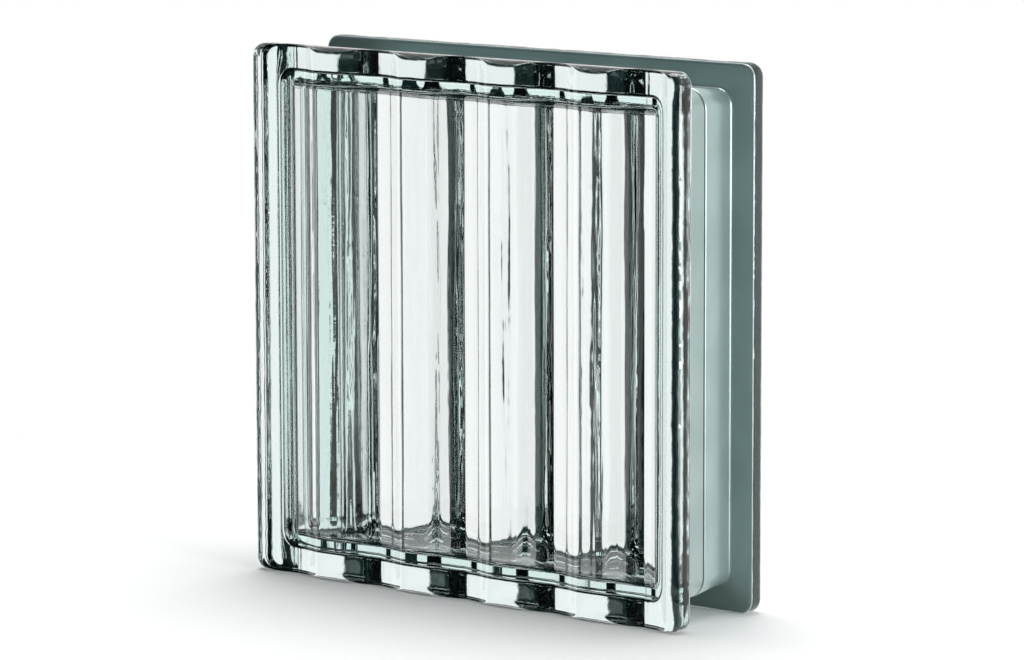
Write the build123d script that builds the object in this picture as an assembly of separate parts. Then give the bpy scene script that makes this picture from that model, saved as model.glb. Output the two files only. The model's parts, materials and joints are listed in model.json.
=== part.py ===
from build123d import *
import math
import os

# Hollow glass block, 300 x 300 x 80 mm, for a wall that lets light through.
# It stands upright: X is its width, Y its depth with the front face towards -Y, Z its height.
# The origin is the middle of the footprint, on the level that the two flanges stand on.

# Overall size
block_width = 300.0
block_height = 300.0
block_depth = 80.0

# Flange: the clear rim of each pressed half, which overhangs the mortar channel
flange_thickness = 12.0
flange_corner_radius = 8.0
rim_front_radius = 6.0
rim_back_radius = 2.0
channel_depth = 15.0

# Side walls: drafted so that each half leaves its mould, widest at the fused seam
wall_flare = 3.0
wall_corner_radius = 12.0
wall_thickness = 5.5
channel_root_bevel = 2.0
seam_groove = 1.2

# Hollow of each half
face_thickness = 12.0
hollow_floor_radius = 5.0
hollow_corner_radius = 8.0

# Relief of both faces: five hollow upright flutes between four broad rounded ribs
flute_count = 5
flute_pitch = 61.6
flute_depth = 7.0
rib_width = 25.0
rib_crest_radius = 70.0
flute_reach = 144.0

# Coating: the opaque paint that covers the mortar channel
coating_thickness = 0.5
bare_rim = 2.5
bare_rim_corner_radius = 5.5

# Modelling allowances: how far joined shapes overlap, and how near counts as in a plane
join_overlap = 1.0
plane_tolerance = 0.01

# Values that follow from the sizes above
half_depth = block_depth / 2
wall_run = half_depth - flange_thickness
root_size = block_width - 2 * channel_depth
seam_size = root_size + 2 * wall_flare
hollow_run = half_depth - face_thickness
hollow_seam_size = seam_size - 2 * wall_thickness
middle_height = block_height / 2


def upright_plane(distance):
    """Plane parallel to the faces, this far in front of the seam, looking out of the block."""
    return Plane(origin=(0, -distance, middle_height), x_dir=(1, 0, 0), z_dir=(0, -1, 0))


def drafted_slab(size, run):
    """Slab from the seam towards the front whose left and right sides draw in with the draft."""
    front_size = size - 2 * wall_flare * run / wall_run
    corners = [(size / 2, 0), (-size / 2, 0), (-front_size / 2, -run), (front_size / 2, -run)]
    slab = extrude(make_face(Polyline(*corners, close=True)), size)
    return Pos(0, 0, middle_height - size / 2) * slab

def tapered_prism(size, corner_radius, run):
    """Square prism with round corners that runs from the seam towards the front and narrows."""
    slab = drafted_slab(size, run)
    turned_slab = Pos(0, 0, middle_height) * Rot(0, 90, 0) * Pos(0, 0, -middle_height) * slab
    frustum = slab & turned_slab
    corners = frustum.edges().filter_by(Axis.X, reverse=True).filter_by(Axis.Z, reverse=True)
    return fillet(corners, corner_radius)

def edges_at_depth(solid, distance):
    """All edges that lie whole in the plane this far in front of the seam."""
    nearest = -distance + plane_tolerance
    farthest = -distance - plane_tolerance
    return solid.edges().filter_by_position(Axis.Y, farthest, nearest)


def wall_body(growth):
    """Outside of the side walls, from the seam into the flange, grown by a coat's thickness."""
    run = wall_run + join_overlap
    body = tapered_prism(seam_size + 2 * growth, wall_corner_radius + growth, run)
    return chamfer(edges_at_depth(body, 0), seam_groove)


def flange_slab():
    """Rim plate of one half with its rounded front and back edges, before the relief is cut."""
    outline = upright_plane(wall_run) * RectangleRounded(block_width, block_height, flange_corner_radius)
    slab = extrude(outline, flange_thickness)
    slab = fillet(edges_at_depth(slab, half_depth), rim_front_radius)
    return fillet(edges_at_depth(slab, wall_run), rim_back_radius)


def root_edges(solid, distance, size):
    """Edges where the wall meets the flange, told from the rim's own edges by their place."""
    reach = size / 2 + join_overlap
    picked = edges_at_depth(solid, distance)
    return picked.filter_by_position(Axis.X, -reach, reach).filter_by_position(
        Axis.Z, middle_height - reach, middle_height + reach
    )


def relief_cutter():
    """Everything in front of the fluted face, as one upright prism to take away."""
    shoulder = rib_width / 2
    shoulder_fall = rib_crest_radius - math.sqrt(rib_crest_radius ** 2 - shoulder ** 2)
    half_flute = flute_pitch / 2 - shoulder
    flute_sink = flute_depth - shoulder_fall
    flute_radius = (half_flute ** 2 + flute_sink ** 2) / (2 * flute_sink)
    face_y = -half_depth
    floor_y = face_y + flute_depth
    outer_middle = (flute_count - 1) / 2 * flute_pitch
    outer_half = flute_reach - outer_middle
    outer_y = floor_y - flute_radius + math.sqrt(flute_radius ** 2 - outer_half ** 2)
    curves = []
    left_end = (-flute_reach, outer_y)
    for number in range(flute_count):
        middle = number * flute_pitch - outer_middle
        right_end = (middle + half_flute, face_y + shoulder_fall)
        if number == flute_count - 1:
            right_end = (flute_reach, outer_y)
        curves.append(ThreePointArc(left_end, (middle, floor_y), right_end))
        if number < flute_count - 1:
            left_end = (middle + flute_pitch - half_flute, face_y + shoulder_fall)
            curves.append(ThreePointArc(right_end, (middle + flute_pitch / 2, face_y), left_end))
    start = (-flute_reach, outer_y)
    end = (flute_reach, outer_y)
    front = -block_depth
    closing = Polyline(end, (flute_reach, front), (-flute_reach, front), start)
    profile = make_face(Curve() + curves + closing)
    return extrude(profile, block_height)

def plain_half():
    """Front half as a solid pressing, before its relief and hollow."""
    body = wall_body(0) + flange_slab()
    return chamfer(root_edges(body, wall_run, root_size), channel_root_bevel)


def hollow():
    """Inside of one half, open at the seam."""
    space = tapered_prism(hollow_seam_size, hollow_corner_radius, hollow_run)
    return fillet(edges_at_depth(space, hollow_run), hollow_floor_radius)


def channel_coating():
    """Paint on the channel side of the front half: its walls and the flange's inner face."""
    inset_width = block_width - 2 * bare_rim
    inset_height = block_height - 2 * bare_rim
    inner_face = upright_plane(wall_run - coating_thickness)
    outline = inner_face * RectangleRounded(inset_width, inset_height, bare_rim_corner_radius)
    coat = wall_body(coating_thickness) + extrude(outline, coating_thickness)
    coat_bevel = channel_root_bevel - coating_thickness / 2
    coat = chamfer(root_edges(coat, wall_run - coating_thickness, root_size), coat_bevel)
    painted = extrude(upright_plane(0) * Rectangle(block_width, block_height), wall_run)
    return (coat & painted) - plain_half()

def as_rear(front):
    """The same pressing turned round, so that its open side meets the front half's."""
    return mirror(front, Plane.XZ)


front_half = plain_half() - relief_cutter() - hollow()
rear_half = as_rear(front_half)
front_coating = channel_coating()
edge_coating = front_coating + as_rear(front_coating)

os.makedirs("parts", exist_ok=True)
for node_name, node_solid in (
    ("front_half", front_half),
    ("rear_half", rear_half),
    ("edge_coating", edge_coating),
):
    node_solid.label = node_name
    export_step(node_solid, f"parts/{node_name}.step")
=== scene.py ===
"""Hollow glass block: clear fused halves with fluted faces, and paint in the mortar channel."""

import json
import logging
import math
from dataclasses import dataclass, field
from enum import Enum

import bmesh
import bpy
from mathutils import Matrix, Vector

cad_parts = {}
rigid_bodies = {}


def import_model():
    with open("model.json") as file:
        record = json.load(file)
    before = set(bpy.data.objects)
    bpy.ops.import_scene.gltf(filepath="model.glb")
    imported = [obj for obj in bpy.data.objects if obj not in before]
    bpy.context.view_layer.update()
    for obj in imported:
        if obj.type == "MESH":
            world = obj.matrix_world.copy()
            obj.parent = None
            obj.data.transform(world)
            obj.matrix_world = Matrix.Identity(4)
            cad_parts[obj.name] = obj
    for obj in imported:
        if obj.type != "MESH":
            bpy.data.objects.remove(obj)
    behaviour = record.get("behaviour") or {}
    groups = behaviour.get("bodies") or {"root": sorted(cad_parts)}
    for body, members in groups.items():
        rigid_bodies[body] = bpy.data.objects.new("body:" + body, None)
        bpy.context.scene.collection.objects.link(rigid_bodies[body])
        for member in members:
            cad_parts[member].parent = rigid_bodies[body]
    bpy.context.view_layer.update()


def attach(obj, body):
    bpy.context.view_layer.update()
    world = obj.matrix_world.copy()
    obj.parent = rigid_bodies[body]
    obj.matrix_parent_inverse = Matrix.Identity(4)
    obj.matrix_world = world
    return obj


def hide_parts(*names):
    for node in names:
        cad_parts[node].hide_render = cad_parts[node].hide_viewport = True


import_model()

log = logging.getLogger("glass_block")

Colour = tuple[float, float, float, float]
Place = tuple[float, float, float]

BODY = "root"
MM = 0.001
WELD = 0.002 * MM
SLIVER = 0.001 * MM


class Half(Enum):
    """Which pressed half a surface belongs to, as the sign of its depth."""

    FRONT = -1
    REAR = 1


@dataclass(frozen=True)
class BlockSizes:
    """The block's sizes in metres, the same as the solids have."""

    width: float = 300 * MM
    depth: float = 80 * MM
    flange: float = 12 * MM
    flange_corner: float = 8 * MM
    rim_front: float = 6 * MM
    rim_back: float = 2 * MM
    channel: float = 15 * MM
    flare: float = 3 * MM
    wall_corner: float = 12 * MM
    wall: float = 5.5 * MM
    root_radius: float = 2 * MM
    seam_groove: float = 1.4 * MM
    face: float = 12 * MM
    hollow_floor: float = 5 * MM
    hollow_corner: float = 8 * MM

    @property
    def half_width(self) -> float:
        """Half of the block's width.

        Returns:
            The distance in metres.
        """
        return self.width / 2

    @property
    def half_depth(self) -> float:
        """Half of the block's depth.

        Returns:
            The distance in metres.
        """
        return self.depth / 2

    @property
    def flange_back(self) -> float:
        """Distance from the seam to the flange's inner face.

        Returns:
            The distance in metres.
        """
        return self.half_depth - self.flange

    @property
    def corner_centre(self) -> float:
        """Distance of the flange corners' centres from the middle.

        Returns:
            The distance in metres.
        """
        return self.half_width - self.flange_corner

    @property
    def wall_centre(self) -> float:
        """Distance of the wall corners' centres from the middle.

        Returns:
            The distance in metres.
        """
        return self.half_width - self.channel + self.flare - self.wall_corner

    @property
    def root_out(self) -> float:
        """Distance of the wall at the flange from the wall corners' centres.

        Returns:
            The distance in metres.
        """
        return self.half_width - self.channel - self.wall_centre

    @property
    def hollow_seam(self) -> float:
        """Distance of the hollow's wall from the middle, at the seam.

        Returns:
            The distance in metres.
        """
        return self.half_width - self.channel + self.flare - self.wall

    @property
    def wall_slope(self) -> float:
        """How far the wall leans in for each metre away from the seam.

        Returns:
            The slope.
        """
        return self.flare / self.flange_back


@dataclass(frozen=True)
class FluteSizes:
    """The relief that both faces carry."""

    pitch: float = 61.6 * MM
    depth: float = 7 * MM
    rib_width: float = 25 * MM
    crest_radius: float = 70 * MM
    outer_middle: float = 123.2 * MM
    blend: float = 1.0 * MM
    crease: float = 5 * MM
    waviness: float = 0.12 * MM
    wave_scale: float = 28.0
    mean_wave: float = 0.5

    @property
    def half_flute(self) -> float:
        """Half the width of one flute between two ribs.

        Returns:
            The distance in metres.
        """
        return (self.pitch - self.rib_width) / 2

    @property
    def shoulder_fall(self) -> float:
        """How far the rib has fallen where the flute begins.

        Returns:
            The distance in metres.
        """
        half_rib = self.rib_width / 2
        return self.crest_radius - math.sqrt(self.crest_radius**2 - half_rib**2)

    @property
    def flute_radius(self) -> float:
        """Radius of the flute's arc.

        Returns:
            The radius in metres.
        """
        sink = self.depth - self.shoulder_fall
        return (self.half_flute**2 + sink**2) / (2 * sink)


@dataclass(frozen=True)
class Ring:
    """A closed square ring with round corners, parallel to the faces.

    centre is the distance of the corner arcs' centres from the middle, radius the
    arcs' radius, and y the ring's distance from the seam.
    """

    centre: float
    radius: float
    y: float


def arc_steps(count: int, start: float = 0.0, end: float = math.pi / 2) -> list[float]:
    """Even angles from start to end, both ends included.

    Args:
        count: How many steps there are.
        start: First angle in radians.
        end: Last angle in radians.

    Returns:
        count + 1 angles.
    """
    return [start + (end - start) * step / count for step in range(count + 1)]


def even_steps(count: int, crowd: float = 1.0) -> list[float]:
    """Numbers from -1 to 1, closer together near both ends where crowd is over 1.

    Args:
        count: How many numbers.
        crowd: 1 for even steps; more crowds them at the ends.

    Returns:
        The numbers in rising order.
    """
    values = []
    for index in range(count):
        value = 2 * index / (count - 1) - 1
        values.append(math.copysign(1 - (1 - abs(value)) ** crowd, value))
    return values


@dataclass
class RingSkin:
    """Makes a mesh from rings that all have the same number of points."""

    across: list[float]
    upright: list[float]
    corner_steps: int
    height: float
    vertices: list[tuple[float, float, float]] = field(default_factory=list)
    faces: list[tuple[int, ...]] = field(default_factory=list)

    def outline(self, ring: Ring) -> list[tuple[float, float]]:
        """Points of one ring, from its lower left corner and round to the right.

        Args:
            ring: The ring.

        Returns:
            Pairs of x and z about the ring's middle.
        """
        half = ring.centre + ring.radius
        sides = (
            [(t * ring.centre, -half) for t in self.across],
            [(half, t * ring.centre) for t in self.upright],
            [(-t * ring.centre, half) for t in self.across],
            [(-half, -t * ring.centre) for t in self.upright],
        )
        corner_middles = ((1, -1), (1, 1), (-1, 1), (-1, -1))
        points = []
        for number, side in enumerate(sides):
            points.extend(side)
            middle_x, middle_z = corner_middles[number]
            first = -math.pi / 2 + number * math.pi / 2
            for angle in arc_steps(self.corner_steps, first, first + math.pi / 2)[1:-1]:
                x = middle_x * ring.centre + ring.radius * math.cos(angle)
                z = middle_z * ring.centre + ring.radius * math.sin(angle)
                points.append((x, z))
        return points

    def add_ring(self, ring: Ring) -> list[int]:
        """Adds one ring's points to the mesh.

        Args:
            ring: The ring.

        Returns:
            The new vertices' numbers, in order round the ring.
        """
        first = len(self.vertices)
        for x, z in self.outline(ring):
            self.vertices.append((x, ring.y, z + self.height))
        return list(range(first, len(self.vertices)))

    def add_cap(self, centre: float, y: float) -> list[int]:
        """Adds a flat square grid, whose border is a ring with no corner radius.

        Args:
            centre: Half the square's size.
            y: Its distance from the seam.

        Returns:
            The border's vertex numbers, in the order that add_ring uses.
        """
        columns, rows = len(self.across), len(self.upright)
        first = len(self.vertices)
        for t_x in self.across:
            for t_z in self.upright:
                self.vertices.append((t_x * centre, y, t_z * centre + self.height))
        for column in range(columns - 1):
            for row in range(rows - 1):
                here = first + column * rows + row
                self.faces.append((here, here + rows, here + rows + 1, here + 1))
        bottom = [first + column * rows for column in range(columns)]
        right = [first + (columns - 1) * rows + row for row in range(rows)]
        top = [number + rows - 1 for number in reversed(bottom)]
        left = [first + row for row in reversed(range(rows))]
        border = []
        for side in (bottom, right, top, left):
            border.extend(side)
            border.extend([side[-1]] * (self.corner_steps - 1))
        return border

    def join(self, inner: list[int], outer: list[int]) -> None:
        """Joins two rings with a band of faces.

        Args:
            inner: Vertex numbers of the first ring.
            outer: Vertex numbers of the second ring.
        """
        count = len(inner)
        for index in range(count):
            after = (index + 1) % count
            face = [inner[index], inner[after], outer[after], outer[index]]
            corners = tuple(dict.fromkeys(face))
            if len(corners) > 2:
                self.faces.append(corners)

    def run(self, start: list[int], rings: list[Ring]) -> list[int]:
        """Adds rings one after another, each joined to the one before.

        Args:
            start: Vertex numbers to join the first ring to.
            rings: The rings in order.

        Returns:
            The last ring's vertex numbers.
        """
        last = start
        for ring in rings:
            current = self.add_ring(ring)
            self.join(last, current)
            last = current
        return last

    def to_mesh(self, inward: bool = False) -> bpy.types.Mesh:
        """Makes the mesh, with doubles merged and its faces turned one way.

        Args:
            inward: True for the skin of a hollow, whose faces point away from the material.

        Returns:
            The mesh.
        """
        mesh = bpy.data.meshes.new("skin")
        mesh.from_pydata(self.vertices, [], self.faces)
        work = bmesh.new()
        work.from_mesh(mesh)
        bmesh.ops.remove_doubles(work, verts=work.verts, dist=WELD)
        bmesh.ops.dissolve_degenerate(work, edges=work.edges, dist=SLIVER)
        bmesh.ops.recalc_face_normals(work, faces=work.faces)
        if inward:
            bmesh.ops.reverse_faces(work, faces=work.faces)
        work.to_mesh(mesh)
        work.free()
        return mesh


def make_piece(name: str, skins: list[bpy.types.Mesh], welded: bool = False) -> bpy.types.Object:
    """Makes one object from one or more skins, and numbers the skins in an attribute.

    Args:
        name: The piece's name.
        skins: Its skins, which are used up.
        welded: True where the skins are open and close each other.

    Returns:
        The new object, linked to the scene.
    """
    mesh = bpy.data.meshes.new(name)
    work = bmesh.new()
    layer = work.verts.layers.float.new("skin")
    for number, skin in enumerate(skins):
        before = len(work.verts)
        work.from_mesh(skin)
        work.verts.ensure_lookup_table()
        for vertex in work.verts[before:]:
            vertex[layer] = float(number)
        bpy.data.meshes.remove(skin)
    if welded:
        bmesh.ops.remove_doubles(work, verts=work.verts, dist=WELD)
        bmesh.ops.recalc_face_normals(work, faces=work.faces)
    work.to_mesh(mesh)
    work.free()
    mesh.shade_smooth()
    piece = bpy.data.objects.new(name, mesh)
    bpy.context.scene.collection.objects.link(piece)
    return piece


class NodeBench:
    """Short calls to build one node tree."""

    def __init__(self, tree: bpy.types.NodeTree) -> None:
        """Keeps the tree.

        Args:
            tree: Any node tree.
        """
        self.tree = tree

    def add(self, kind: str, **settings: object) -> bpy.types.Node:
        """Adds a node.

        Args:
            kind: The node's type name.
            **settings: Its properties.

        Returns:
            The node.
        """
        node = self.tree.nodes.new(kind)
        for key, value in settings.items():
            setattr(node, key, value)
        return node

    def plug(self, source: object, socket: bpy.types.NodeSocket) -> None:
        """Links a socket to an input, or writes a plain value there.

        Args:
            source: An output socket, or a number, colour or vector.
            socket: The input.
        """
        if isinstance(source, bpy.types.NodeSocket):
            self.tree.links.new(source, socket)
        else:
            socket.default_value = source

    def math(self, operation: str, *values: object, clamp: bool = False) -> bpy.types.NodeSocket:
        """Adds a Math node.

        Args:
            operation: Blender's name of the operation.
            *values: Its inputs, sockets or numbers.
            clamp: Whether the result is kept from 0 to 1.

        Returns:
            The result.
        """
        kind = "ShaderNodeMath"
        node = self.add(kind, operation=operation, use_clamp=clamp)
        for value, socket in zip(values, node.inputs):
            self.plug(value, socket)
        return node.outputs[0]

    def ramp(
        self, value: object, low: float, high: float, start: float = 0.0, end: float = 1.0
    ) -> bpy.types.NodeSocket:
        """Smooth step of a value.

        Args:
            value: The value.
            low: Where the step begins.
            high: Where it ends.
            start: Result below low.
            end: Result above high.

        Returns:
            The result socket.
        """
        node = self.add("ShaderNodeMapRange", interpolation_type="SMOOTHSTEP")
        limits = {"From Min": low, "From Max": high, "To Min": start, "To Max": end}
        for key, number in limits.items():
            node.inputs[key].default_value = number
        self.plug(value, node.inputs["Value"])
        return node.outputs["Result"]

    def noise(self, vector: object, scale: float, detail: float) -> bpy.types.NodeSocket:
        """Noise texture in three dimensions.

        Args:
            vector: Where it is read.
            scale: Its scale.
            detail: Its detail.

        Returns:
            The noise value's socket.
        """
        node = self.add("ShaderNodeTexNoise", noise_dimensions="3D")
        node.inputs["Scale"].default_value = scale
        node.inputs["Detail"].default_value = detail
        self.plug(vector, node.inputs["Vector"])
        return node.outputs[0]

    def split(self, vector: object) -> bpy.types.bpy_prop_collection:
        """Takes a vector apart.

        Args:
            vector: The vector's socket.

        Returns:
            The outputs X, Y and Z.
        """
        node = self.add("ShaderNodeSeparateXYZ")
        self.plug(vector, node.inputs[0])
        return node.outputs

    def choose(self, switch: object, off: object, on: object) -> bpy.types.NodeSocket:
        """Mixes two numbers.

        Args:
            switch: 0 for the first, 1 for the second.
            off: Number at 0.
            on: Number at 1.

        Returns:
            The number's socket.
        """
        node = self.add("ShaderNodeMix", data_type="FLOAT")
        self.plug(switch, node.inputs[0])
        self.plug(off, node.inputs[2])
        self.plug(on, node.inputs[3])
        return node.outputs[0]

    def blend(self, switch: object, off: object, on: object) -> bpy.types.NodeSocket:
        """Mixes two colours.

        Args:
            switch: 0 for the first, 1 for the second.
            off: Colour at 0.
            on: Colour at 1.

        Returns:
            The colour's socket.
        """
        node = self.add("ShaderNodeMix", data_type="RGBA")
        self.plug(switch, node.inputs[0])
        self.plug(off, node.inputs[6])
        self.plug(on, node.inputs[7])
        return node.outputs[2]


@dataclass
class FluteRelief:
    """Presses the flutes into both faces of a plain block."""

    sizes: FluteSizes
    block: BlockSizes

    def tree(self) -> bpy.types.NodeTree:
        """Builds the node group that lowers each face to the flutes' depth.

        Returns:
            The geometry node group.
        """
        group = bpy.data.node_groups.new("flute_relief", "GeometryNodeTree")
        face = group.interface
        face.new_socket("Geometry", in_out="INPUT", socket_type="NodeSocketGeometry")
        for name in self.inputs():
            face.new_socket(name, in_out="INPUT", socket_type="NodeSocketFloat")
        face.new_socket("Finish", in_out="INPUT", socket_type="NodeSocketMaterial")
        face.new_socket("Geometry", in_out="OUTPUT", socket_type="NodeSocketGeometry")
        bench = NodeBench(group)
        given = bench.add("NodeGroupInput").outputs
        place = bench.add("GeometryNodeInputPosition").outputs[0]
        along = bench.split(place)
        depth = self.depth_at(bench, given, along["X"])
        wave = bench.noise(place, self.sizes.wave_scale, 1.0)
        swing = bench.math("SUBTRACT", wave, self.sizes.mean_wave)
        ripple = bench.math("MULTIPLY", swing, given["Waviness"])
        depth = bench.math("ADD", depth, bench.math("ABSOLUTE", ripple))
        level = bench.math("SUBTRACT", given["Half Depth"], depth)
        away = bench.math("ABSOLUTE", along["Y"])
        lowered = bench.math("SMOOTH_MIN", away, level, given["Blend"])
        signed = bench.math("MULTIPLY", lowered, bench.math("SIGN", along["Y"]))
        moved = bench.add("ShaderNodeCombineXYZ")
        bench.plug(along["X"], moved.inputs["X"])
        bench.plug(signed, moved.inputs["Y"])
        bench.plug(along["Z"], moved.inputs["Z"])
        press = bench.add("GeometryNodeSetPosition")
        bench.plug(given["Geometry"], press.inputs["Geometry"])
        bench.plug(moved.outputs[0], press.inputs["Position"])
        real = bench.add("GeometryNodeRealizeInstances")
        bench.plug(press.outputs[0], real.inputs[0])
        dress = bench.add("GeometryNodeSetMaterial")
        bench.plug(real.outputs[0], dress.inputs["Geometry"])
        bench.plug(given["Finish"], dress.inputs["Material"])
        end = bench.add("NodeGroupOutput")
        bench.plug(dress.outputs[0], end.inputs[0])
        return group

    def depth_at(self, bench: NodeBench, given: object, x: object) -> object:
        """Depth of the relief at one place across the face.

        Args:
            bench: The tree being built.
            given: The group's inputs.
            x: The place's socket.

        Returns:
            The depth's socket.
        """
        half_pitch = bench.math("MULTIPLY", given["Pitch"], 0.5)
        from_rib = bench.math("PINGPONG", bench.math("SUBTRACT", x, half_pitch), half_pitch)
        side = bench.math("ABSOLUTE", x)
        beyond = bench.math("GREATER_THAN", side, given["Outer Middle"])
        inner = bench.math("SUBTRACT", half_pitch, from_rib)
        outer = bench.math("SUBTRACT", side, given["Outer Middle"])
        from_flute = bench.choose(beyond, inner, outer)
        flute_rise = self.bow(bench, given["Flute Radius"], from_flute)
        flute = bench.math("SUBTRACT", given["Depth"], flute_rise)
        rib = self.bow(bench, given["Crest Radius"], from_rib)
        ribbed = bench.math("SMOOTH_MAX", rib, flute, given["Crease"])
        return bench.math("MAXIMUM", bench.choose(beyond, ribbed, flute), 0.0)

    def bow(self, bench: NodeBench, radius: object, offset: object) -> object:
        """How far a circle falls away from its tangent at an offset.

        Args:
            bench: The tree being built.
            radius: The circle's radius.
            offset: Distance along the tangent.

        Returns:
            The fall's socket.
        """
        radius_squared = bench.math("POWER", radius, 2.0)
        offset_squared = bench.math("POWER", offset, 2.0)
        inside = bench.math("SUBTRACT", radius_squared, offset_squared)
        height = bench.math("SQRT", bench.math("MAXIMUM", inside, 0.0))
        return bench.math("SUBTRACT", radius, height)

    def inputs(self) -> dict[str, float]:
        """The group's named inputs and their values.

        Returns:
            A value for each name.
        """
        return {
            "Pitch": self.sizes.pitch,
            "Depth": self.sizes.depth,
            "Flute Radius": self.sizes.flute_radius,
            "Crest Radius": self.sizes.crest_radius,
            "Outer Middle": self.sizes.outer_middle,
            "Half Depth": self.block.half_depth,
            "Blend": self.sizes.blend,
            "Crease": self.sizes.crease,
            "Waviness": self.sizes.waviness,
        }

    def press(self, piece: bpy.types.Object, finish: bpy.types.Material) -> None:
        """Presses the relief into a piece and leaves it a plain mesh.

        Args:
            piece: The plain block.
            finish: The material that it gets.
        """
        modifier = piece.modifiers.new("flutes", "NODES")
        modifier.node_group = self.tree()
        values = {**self.inputs(), "Finish": finish}
        for item in modifier.node_group.interface.items_tree:
            if item.in_out == "INPUT" and item.name in values:
                modifier[item.identifier] = values[item.name]
        piece.update_tag()
        ready = piece.evaluated_get(bpy.context.evaluated_depsgraph_get())
        mesh = bpy.data.meshes.new_from_object(ready)
        piece.modifiers.clear()
        old = piece.data
        piece.data = mesh
        bpy.data.meshes.remove(old)
        mesh.name = piece.name
        mesh.shade_smooth()


@dataclass
class GlassBody:
    """Both pressed halves, fused into one clear hollow body."""

    block: BlockSizes
    flutes: FluteSizes
    across: int = 330
    upright: int = 30
    upright_crowd: float = 1.4
    corner_steps: int = 8
    rim_steps: int = 16
    back_steps: int = 5
    root_steps: int = 4
    hollow_across: int = 60
    floor_steps: int = 6
    face_parts: tuple[float, ...] = (0.5, 1.0)
    wall_parts: tuple[float, ...] = (0.66, 0.33, 0.0)

    def rim_rings(self, side: Half) -> list[Ring]:
        """Rings from the face's border over the rim and down its flat side.

        Args:
            side: Which half.

        Returns:
            The rings in order.
        """
        size = self.block
        centre = size.corner_centre
        sign = side.value
        rings = []
        for part in self.face_parts:
            radius = part * (size.flange_corner - size.rim_front)
            rings.append(Ring(centre, radius, sign * size.half_depth))
        for angle in arc_steps(self.rim_steps)[1:]:
            inset = size.rim_front * (1 - math.sin(angle))
            sink = size.rim_front * (1 - math.cos(angle))
            rings.append(Ring(centre, size.flange_corner - inset, sign * (size.half_depth - sink)))
        return rings

    def channel_rings(self, side: Half) -> list[Ring]:
        """Rings from the rim's back edge down the flange and along the wall to the seam.

        Args:
            side: Which half.

        Returns:
            The rings in order.
        """
        size = self.block
        centre, wall_centre = size.corner_centre, size.wall_centre
        sign = side.value
        rings = []
        for angle in arc_steps(self.back_steps):
            inset = size.rim_back * (1 - math.cos(angle))
            y = size.flange_back + size.rim_back * (1 - math.sin(angle))
            rings.append(Ring(centre, size.flange_corner - inset, sign * y))
        for angle in arc_steps(self.root_steps):
            out = size.root_out + size.root_radius * (1 - math.sin(angle))
            y = size.flange_back - size.root_radius * (1 - math.cos(angle))
            rings.append(Ring(wall_centre, out, sign * y))
        groove = size.seam_groove
        lip = size.wall_corner - size.wall_slope * groove
        rings.append(Ring(wall_centre, lip, sign * groove))
        for angle in arc_steps(self.root_steps)[1:]:
            out = lip - groove * (1 - math.cos(angle))
            rings.append(Ring(wall_centre, out, sign * groove * (1 - math.sin(angle))))
        return rings

    def hollow_rings(self, side: Half) -> list[Ring]:
        """Rings of the hollow, from the border of its flat floor to the seam.

        Args:
            side: Which half.

        Returns:
            The rings in order.
        """
        size = self.block
        centre = size.hollow_seam - size.hollow_corner
        depth = size.half_depth - size.face
        floor_radius = size.hollow_corner - size.flare
        rings = []
        for angle in arc_steps(self.floor_steps)[1:]:
            out = floor_radius - size.hollow_floor * (1 - math.sin(angle))
            y = depth - size.hollow_floor * (1 - math.cos(angle))
            rings.append(Ring(centre, out, side.value * y))
        for part in self.wall_parts:
            y = (depth - size.hollow_floor) * part
            out = size.hollow_corner - size.flare * y / depth
            rings.append(Ring(centre, out, side.value * y))
        return rings

    def skin(self, skin: RingSkin, side: Half, hollow: bool) -> None:
        """Adds one half's outside or inside to a skin.

        Args:
            skin: The skin.
            side: Which half.
            hollow: True for the inside.
        """
        size = self.block
        if hollow:
            floor_y = side.value * (size.half_depth - size.face)
            border = skin.add_cap(size.hollow_seam - size.hollow_corner, floor_y)
            skin.run(border, self.hollow_rings(side))
        else:
            border = skin.add_cap(size.corner_centre, side.value * size.half_depth)
            skin.run(border, self.rim_rings(side) + self.channel_rings(side))

    def build(self, finish: bpy.types.Material) -> bpy.types.Object:
        """Makes the glass and presses its flutes.

        Args:
            finish: The glass.

        Returns:
            The piece.
        """
        middle = self.block.half_width
        upright_steps = even_steps(self.upright, self.upright_crowd)
        outside = RingSkin(even_steps(self.across), upright_steps, self.corner_steps, middle)
        inside_steps = even_steps(self.hollow_across)
        inside = RingSkin(inside_steps, inside_steps, self.corner_steps, middle)
        for side in Half:
            self.skin(outside, side, hollow=False)
            self.skin(inside, side, hollow=True)
        piece = make_piece("glass_body", [outside.to_mesh(), inside.to_mesh(inward=True)])
        FluteRelief(self.flutes, self.block).press(piece, finish)
        return piece


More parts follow.
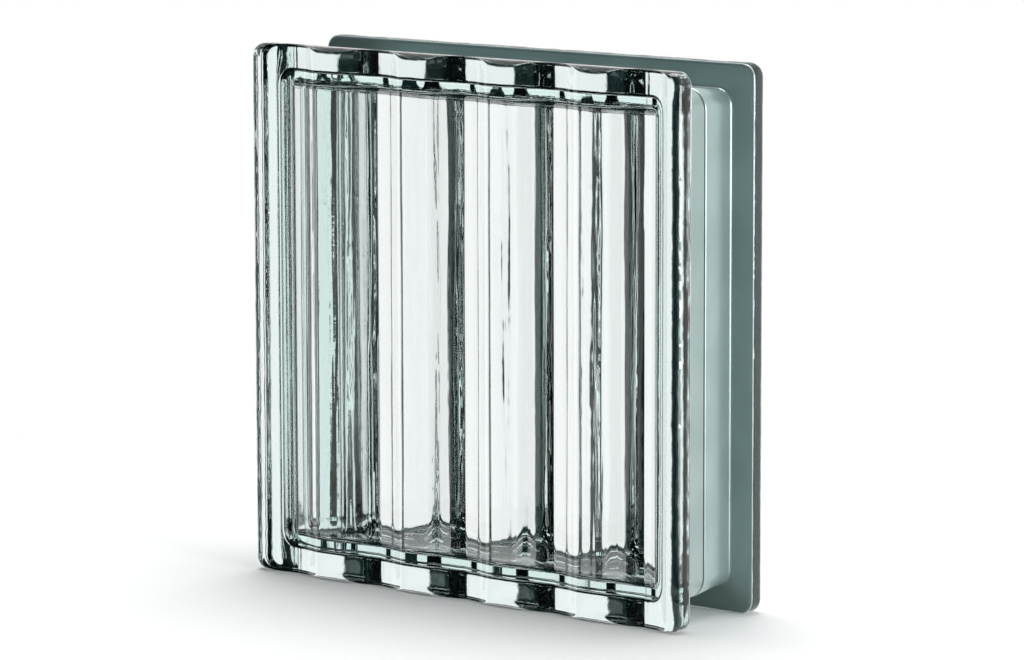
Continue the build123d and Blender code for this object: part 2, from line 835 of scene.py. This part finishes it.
@dataclass
class ChannelPaint:
    """The satin paint film on the flanges' inner faces and on the walls between them."""

    block: BlockSizes
    film: float = 0.4 * MM
    sunk: float = 0.05 * MM
    wrap: float = math.radians(40)
    side_steps: int = 24
    corner_steps: int = 8
    bend_steps: int = 4

    def film_rings(self, offset: float) -> list[Ring]:
        """Rings that follow the channel at a distance from the glass, from rim to rim.

        Args:
            offset: Distance from the glass, out of it.

        Returns:
            The rings in order.
        """
        size = self.block
        centre, wall_centre = size.corner_centre, size.wall_centre
        front = []
        for angle in arc_steps(self.bend_steps, self.wrap):
            reach = size.rim_back + offset
            out = size.flange_corner - size.rim_back + reach * math.cos(angle)
            front.append((centre, out, size.flange_back + size.rim_back - reach * math.sin(angle)))
        bend = size.root_radius - offset
        for angle in arc_steps(self.bend_steps):
            out = size.root_out + size.root_radius - bend * math.sin(angle)
            y = size.flange_back - size.root_radius + bend * math.cos(angle)
            front.append((wall_centre, out, y))
        groove = size.seam_groove
        bottom = size.wall_corner - size.wall_slope * groove - groove
        for angle in arc_steps(self.bend_steps):
            out = bottom + (groove + offset) * math.cos(angle)
            front.append((wall_centre, out, groove * (1 - math.sin(angle))))
        rings = [Ring(middle, out, Half.FRONT.value * y) for middle, out, y in front]
        for middle, out, y in reversed(front[:-1]):
            rings.append(Ring(middle, out, Half.REAR.value * y))
        return rings

    def skin(self, rings: list[Ring], rims: list[Ring]) -> bpy.types.Mesh:
        """One side of the film.

        Args:
            rings: The rings from rim to rim.
            rims: The rings that its two borders close on.

        Returns:
            The open mesh.
        """
        steps = even_steps(self.side_steps)
        skin = RingSkin(steps, steps, self.corner_steps, self.block.half_width)
        skin.run(skin.add_ring(rims[0]), rings + rims[1:])
        return skin.to_mesh()

    def build(self, finish: bpy.types.Material) -> bpy.types.Object:
        """Makes the paint film as a closed thin shell.

        Args:
            finish: The paint.

        Returns:
            The piece.
        """
        outer = self.film_rings(self.film)
        inner = self.film_rings(-self.sunk)
        rims = [inner[0], inner[-1]]
        skins = [self.skin(outer, rims), self.skin(inner[1:-1], rims)]
        piece = make_piece("channel_paint", skins, welded=True)
        piece.data.materials.append(finish)
        return piece


class Finish:
    """Shared steps of every finish."""

    name: str = "finish"

    def start(self) -> tuple[bpy.types.Material, NodeBench, bpy.types.Node]:
        """Makes an empty material with its Principled shader.

        Returns:
            The material, its bench and the shader.
        """
        material = bpy.data.materials.new(self.name)
        material.use_nodes = True
        bench = NodeBench(material.node_tree)
        shader = next(node for node in material.node_tree.nodes if node.type == "BSDF_PRINCIPLED")
        return material, bench, shader

    def bump(
        self,
        bench: NodeBench,
        shader: bpy.types.Node,
        height: object,
        strength: float,
        reach: float,
    ) -> None:
        """Adds a bump from a height.

        Args:
            bench: The material's bench.
            shader: The shader that gets it.
            height: The height's socket.
            strength: How strong it is.
            reach: The real height in metres.
        """
        node = bench.add("ShaderNodeBump")
        node.inputs["Strength"].default_value = strength
        node.inputs["Distance"].default_value = reach
        bench.plug(height, node.inputs["Height"])
        bench.plug(node.outputs[0], shader.inputs["Normal"])


@dataclass(frozen=True)
class ClearGlass(Finish):
    """Pressed soda glass: clear, faintly green in depth, with a slightly uneven skin."""

    name: str = "clear_pressed_glass"
    tint: Colour = (1.0, 1.0, 1.0, 1.0)
    absorb: Colour = (0.50, 0.97, 0.93, 1.0)
    density: float = 4.5
    smear_scale: float = 60.0
    smear_from: float = 0.55
    smear_to: float = 0.8
    smear_rough: float = 0.04
    draw: Place = (1.0, 1.0, 0.05)
    streak_scale: float = 130.0
    dimple_scale: float = 90.0
    dimple_share: float = 0.3
    ripple: float = 0.16 * MM
    fold_scale: float = 60.0
    fold: float = 6.0
    middle: float = 150 * MM
    rim_start: float = 131 * MM
    rim_full: float = 143 * MM
    ior: float = 1.52

    def material(self) -> bpy.types.Material:
        """Builds the material.

        Returns:
            The material.
        """
        material, bench, shader = self.start()
        shader.inputs["Base Color"].default_value = self.tint
        shader.inputs["IOR"].default_value = self.ior
        shader.inputs["Transmission Weight"].default_value = 1.0
        place = bench.add("ShaderNodeTexCoord").outputs["Object"]
        smear = bench.noise(place, self.smear_scale, 2.0)
        dull = bench.ramp(smear, self.smear_from, self.smear_to, 0.0, self.smear_rough)
        bench.plug(dull, shader.inputs["Roughness"])
        drawn = bench.add("ShaderNodeVectorMath", operation="MULTIPLY")
        bench.plug(place, drawn.inputs[0])
        bench.plug(self.draw, drawn.inputs[1])
        streaks = bench.noise(drawn.outputs[0], self.streak_scale, 2.0)
        dimples = bench.noise(place, self.dimple_scale, 1.0)
        skin = bench.math("ADD", streaks, bench.math("MULTIPLY", dimples, self.dimple_share))
        height = bench.math("ADD", skin, self.folds(bench, place))
        self.bump(bench, shader, height, 1.0, self.ripple)
        depth = bench.add("ShaderNodeVolumeAbsorption")
        depth.inputs["Color"].default_value = self.absorb
        depth.inputs["Density"].default_value = self.density
        output = next(node for node in material.node_tree.nodes if node.type == "OUTPUT_MATERIAL")
        bench.plug(depth.outputs[0], output.inputs["Volume"])
        return material

    def folds(self, bench: NodeBench, place: object) -> object:
        """Soft lumps in the rims, where the pressed glass flowed over the mould's edge.

        Args:
            bench: The material's bench.
            place: The place's socket.

        Returns:
            The lumps' height in ripples.
        """
        along = bench.split(place)
        sideways = bench.math("ABSOLUTE", along["X"])
        upright = bench.math("ABSOLUTE", bench.math("SUBTRACT", along["Z"], self.middle))
        farther = bench.math("MAXIMUM", sideways, upright)
        border = bench.ramp(farther, self.rim_start, self.rim_full)
        lumps = bench.noise(place, self.fold_scale, 2.0)
        return bench.math("MULTIPLY", bench.math("MULTIPLY", lumps, border), self.fold)


@dataclass(frozen=True)
class SatinPaint(Finish):
    """Silver grey edge paint: satin outside, bright and finely flaked where the glass covers it."""

    name: str = "silver_edge_paint"
    light: Colour = (0.375, 0.475, 0.465, 1.0)
    dark: Colour = (0.325, 0.42, 0.41, 1.0)
    # Painted shade: a thin near-black line on the paint along the seam groove, standing in for the
    # groove's shadow, and its width.
    painted_seam_shade: Colour = (0.06, 0.08, 0.08, 1.0)
    seam_shade_width: float = 0.5 * MM
    clear: Colour = (0.90, 0.96, 0.95, 1.0)
    metallic: float = 0.65
    satin: float = 0.32
    bright: float = 0.06
    cloud_scale: float = 22.0
    cloud_from: float = 0.35
    cloud_to: float = 0.65
    cloud_share: float = 0.2
    grain_scale: float = 700.0
    grain_from: float = 0.3
    grain_to: float = 0.7
    grain_rough: float = 0.02
    flake_scale: float = 800.0
    bump_strength: float = 0.35
    bump_reach: float = 0.04 * MM

    def material(self) -> bpy.types.Material:
        """Builds the material.

        Returns:
            The material.
        """
        material, bench, shader = self.start()
        place = bench.add("ShaderNodeTexCoord").outputs["Object"]
        covered = bench.add("ShaderNodeAttribute", attribute_name="skin").outputs["Fac"]
        bench.plug(bench.ramp(covered, 0.0, 1.0, self.metallic, 1.0), shader.inputs["Metallic"])
        cloud = bench.noise(place, self.cloud_scale, 4.0)
        cloudy = bench.ramp(cloud, self.cloud_from, self.cloud_to)
        painted = bench.blend(cloudy, self.dark, self.light)
        # Painted shade: the paint turns near-black within about half a millimetre of the seam,
        # where the groove's shadow falls.
        from_seam = bench.math("ABSOLUTE", bench.split(place)["Y"])
        off_seam_shade = bench.ramp(from_seam, self.seam_shade_width / 2, self.seam_shade_width)
        seam_shaded = bench.blend(off_seam_shade, self.painted_seam_shade, painted)
        through = bench.blend(bench.ramp(covered, 0.0, 1.0), seam_shaded, self.clear)
        bench.plug(through, shader.inputs["Base Color"])
        grain = bench.noise(place, self.grain_scale, 3.0)
        under = bench.ramp(covered, 0.0, 1.0, self.satin, self.bright)
        rough = self.grain_rough
        uneven = bench.ramp(grain, self.grain_from, self.grain_to, -rough, rough)
        bench.plug(bench.math("ADD", under, uneven), shader.inputs["Roughness"])
        flakes = bench.math("MULTIPLY", bench.noise(place, self.flake_scale, 2.0), covered)
        height = bench.math("ADD", flakes, bench.math("MULTIPLY", cloud, self.cloud_share))
        self.bump(bench, shader, height, self.bump_strength, self.bump_reach)
        return material


@dataclass(frozen=True)
class PaleFloor(Finish):
    """Plain white studio floor that fades into the white background."""

    name: str = "pale_floor"
    colour: Colour = (0.9, 0.9, 0.9, 1.0)
    pale: Colour = (0.92, 0.92, 0.92, 1.0)
    roughness: float = 0.7
    cloth_scale: float = 6.0
    fade_start: float = 0.36
    fade_end: float = 0.62

    def material(self) -> bpy.types.Material:
        """Builds the material.

        Returns:
            The material.
        """
        material, bench, shader = self.start()
        shader.inputs["Roughness"].default_value = self.roughness
        place = bench.add("ShaderNodeTexCoord").outputs["Object"]
        cloth = bench.noise(place, self.cloth_scale, 3.0)
        bench.plug(bench.blend(cloth, self.colour, self.pale), shader.inputs["Base Color"])
        away = bench.add("ShaderNodeVectorMath", operation="LENGTH")
        bench.plug(place, away.inputs[0])
        seen = bench.ramp(away.outputs["Value"], self.fade_start, self.fade_end, 1.0, 0.0)
        path = bench.add("ShaderNodeLightPath").outputs
        bent = bench.math("MAXIMUM", path["Is Glossy Ray"], path["Is Transmission Ray"])
        seen = bench.math("MULTIPLY", seen, bench.math("SUBTRACT", 1.0, bent))
        bench.plug(seen, shader.inputs["Alpha"])
        return material


@dataclass(frozen=True)
class Lamp:
    """One square soft lamp: its name, place, side in metres and power in watts."""

    name: str
    place: Place
    size: float
    power: float


@dataclass
class Studio:
    """Floor, light, background and camera.

    Angles are in degrees. Screens are white near the faces' axis and end between
    screen_full and screen_end; the dark front begins between card_start and card_full.
    """

    floor_radius: float = 0.66
    floor_segments: int = 96
    soft: Colour = (0.85, 0.85, 0.85, 1.0)
    dim: Colour = (0.05, 0.07, 0.07, 1.0)
    white: Colour = (1.0, 1.0, 1.0, 1.0)
    shade: Colour = (0.006, 0.016, 0.016, 1.0)
    card: Colour = (0.03, 0.05, 0.05, 1.0)
    screen_full: float = 47.0
    screen_end: float = 51.0
    screen_top: float = 0.50
    screen_over: float = 0.62
    card_start: float = 98.0
    card_full: float = 108.0
    lamps: tuple[Lamp, ...] = (
        Lamp("top_light", (-0.2, 0.2, 1.9), 1.2, 26.0),
        Lamp("side_light", (1.7, -0.2, 0.35), 0.8, 22.0),
    )
    lamp_target: Place = (0.0, 0.0, 0.15)
    sensor: float = 36.0
    far_end: float = 50.0
    yaw: float = 38.5
    pitch: float = 8.44
    roll: float = -0.13
    lens: float = 175.1
    distance: float = 2.7171
    side_shift: float = 0.030
    up_shift: float = 0.0009
    aim: Place = (0.0, -0.040, 0.150)

    def floor(self) -> bpy.types.Object:
        """Makes the round floor.

        Returns:
            The floor.
        """
        mesh = bpy.data.meshes.new("studio_floor")
        work = bmesh.new()
        bmesh.ops.create_circle(
            work, cap_ends=True, segments=self.floor_segments, radius=self.floor_radius
        )
        work.to_mesh(mesh)
        work.free()
        floor = bpy.data.objects.new("studio_floor", mesh)
        bpy.context.scene.collection.objects.link(floor)
        mesh.materials.append(PaleFloor().material())
        return floor

    def background(self) -> None:
        """The world, which shows each kind of ray a picture of its own.

        The camera sees white. Glass shows white screens before and behind the block,
        and dark beside them. Reflections and soft light are dark in front, pale elsewhere.
        """
        world = bpy.data.worlds.new("white_screens")
        bpy.context.scene.world = world
        world.use_nodes = True
        bench = NodeBench(world.node_tree)
        world.node_tree.nodes.clear()
        sky = bench.add("ShaderNodeBackground")
        end = bench.add("ShaderNodeOutputWorld")
        bench.plug(sky.outputs[0], end.inputs["Surface"])
        way = bench.split(bench.add("ShaderNodeTexCoord").outputs["Generated"])
        turn = bench.math("ARCTAN2", way["X"], way["Y"])
        off_axis = bench.math("PINGPONG", turn, math.radians(90))
        height = bench.math("ABSOLUTE", way["Z"])
        full, gone = math.radians(self.screen_full), math.radians(self.screen_end)
        wide = bench.ramp(off_axis, full, gone, 1.0, 0.0)
        tall = bench.ramp(height, self.screen_top, self.screen_over, 1.0, 0.0)
        screen = bench.math("MULTIPLY", wide, tall)
        start, dark = math.radians(self.card_start), math.radians(self.card_full)
        front = bench.ramp(bench.math("ABSOLUTE", turn), start, dark)
        path = bench.add("ShaderNodeLightPath").outputs
        soft = bench.blend(front, self.soft, self.dim)
        mirrored = bench.blend(front, self.white, self.card)
        behind = bench.blend(screen, self.shade, self.white)
        colour = bench.blend(path["Is Glossy Ray"], soft, mirrored)
        colour = bench.blend(path["Is Transmission Ray"], colour, behind)
        bench.plug(bench.blend(path["Is Camera Ray"], colour, self.white), sky.inputs["Color"])

    def hang(self, lamp: Lamp) -> None:
        """Hangs one lamp, turned to the block.

        Args:
            lamp: The lamp.
        """
        light = bpy.data.lights.new(lamp.name, "AREA")
        light.energy = lamp.power
        light.size = lamp.size
        hung = bpy.data.objects.new(lamp.name, light)
        bpy.context.scene.collection.objects.link(hung)
        hung.location = lamp.place
        toward = Vector(self.lamp_target) - Vector(lamp.place)
        hung.rotation_euler = toward.to_track_quat("-Z", "Y").to_euler()
        hung.visible_camera = False
        hung.visible_transmission = False

    def camera(self) -> None:
        """Puts the camera where the photograph was taken from."""
        yaw, pitch, roll = (math.radians(angle) for angle in (self.yaw, self.pitch, self.roll))
        ahead = Vector(
            (-math.sin(yaw) * math.cos(pitch), math.cos(yaw) * math.cos(pitch), -math.sin(pitch))
        )
        level_right = Vector((math.cos(yaw), math.sin(yaw), 0.0))
        level_up = level_right.cross(ahead)
        right = math.cos(roll) * level_right + math.sin(roll) * level_up
        up = -math.sin(roll) * level_right + math.cos(roll) * level_up
        place = Vector(self.aim) - self.distance * ahead
        place += self.side_shift * level_right + self.up_shift * level_up
        view = bpy.data.cameras.new("camera")
        view.sensor_width = self.sensor
        view.lens = self.lens
        view.clip_end = self.far_end
        camera = bpy.data.objects.new("camera", view)
        bpy.context.scene.collection.objects.link(camera)
        turn = Matrix((right, up, -ahead)).transposed()
        camera.matrix_world = Matrix.Translation(place) @ turn.to_4x4()
        bpy.context.scene.camera = camera

    def build(self) -> None:
        """Sets up the whole studio."""
        self.floor()
        self.background()
        for lamp in self.lamps:
            self.hang(lamp)
        self.camera()
        bpy.context.scene.view_settings.view_transform = "Standard"


def main() -> None:
    """Builds the block and its studio."""
    block = BlockSizes()
    glass = GlassBody(block, FluteSizes()).build(ClearGlass().material())
    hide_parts("front_half", "rear_half")
    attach(glass, BODY)
    log.info("glass_body: %d faces", len(glass.data.polygons))
    paint = ChannelPaint(block).build(SatinPaint().material())
    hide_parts("edge_coating")
    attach(paint, BODY)
    log.info("channel_paint: %d faces", len(paint.data.polygons))
    Studio().build()


if __name__ == "__main__":
    logging.basicConfig(level=logging.INFO)
    main()
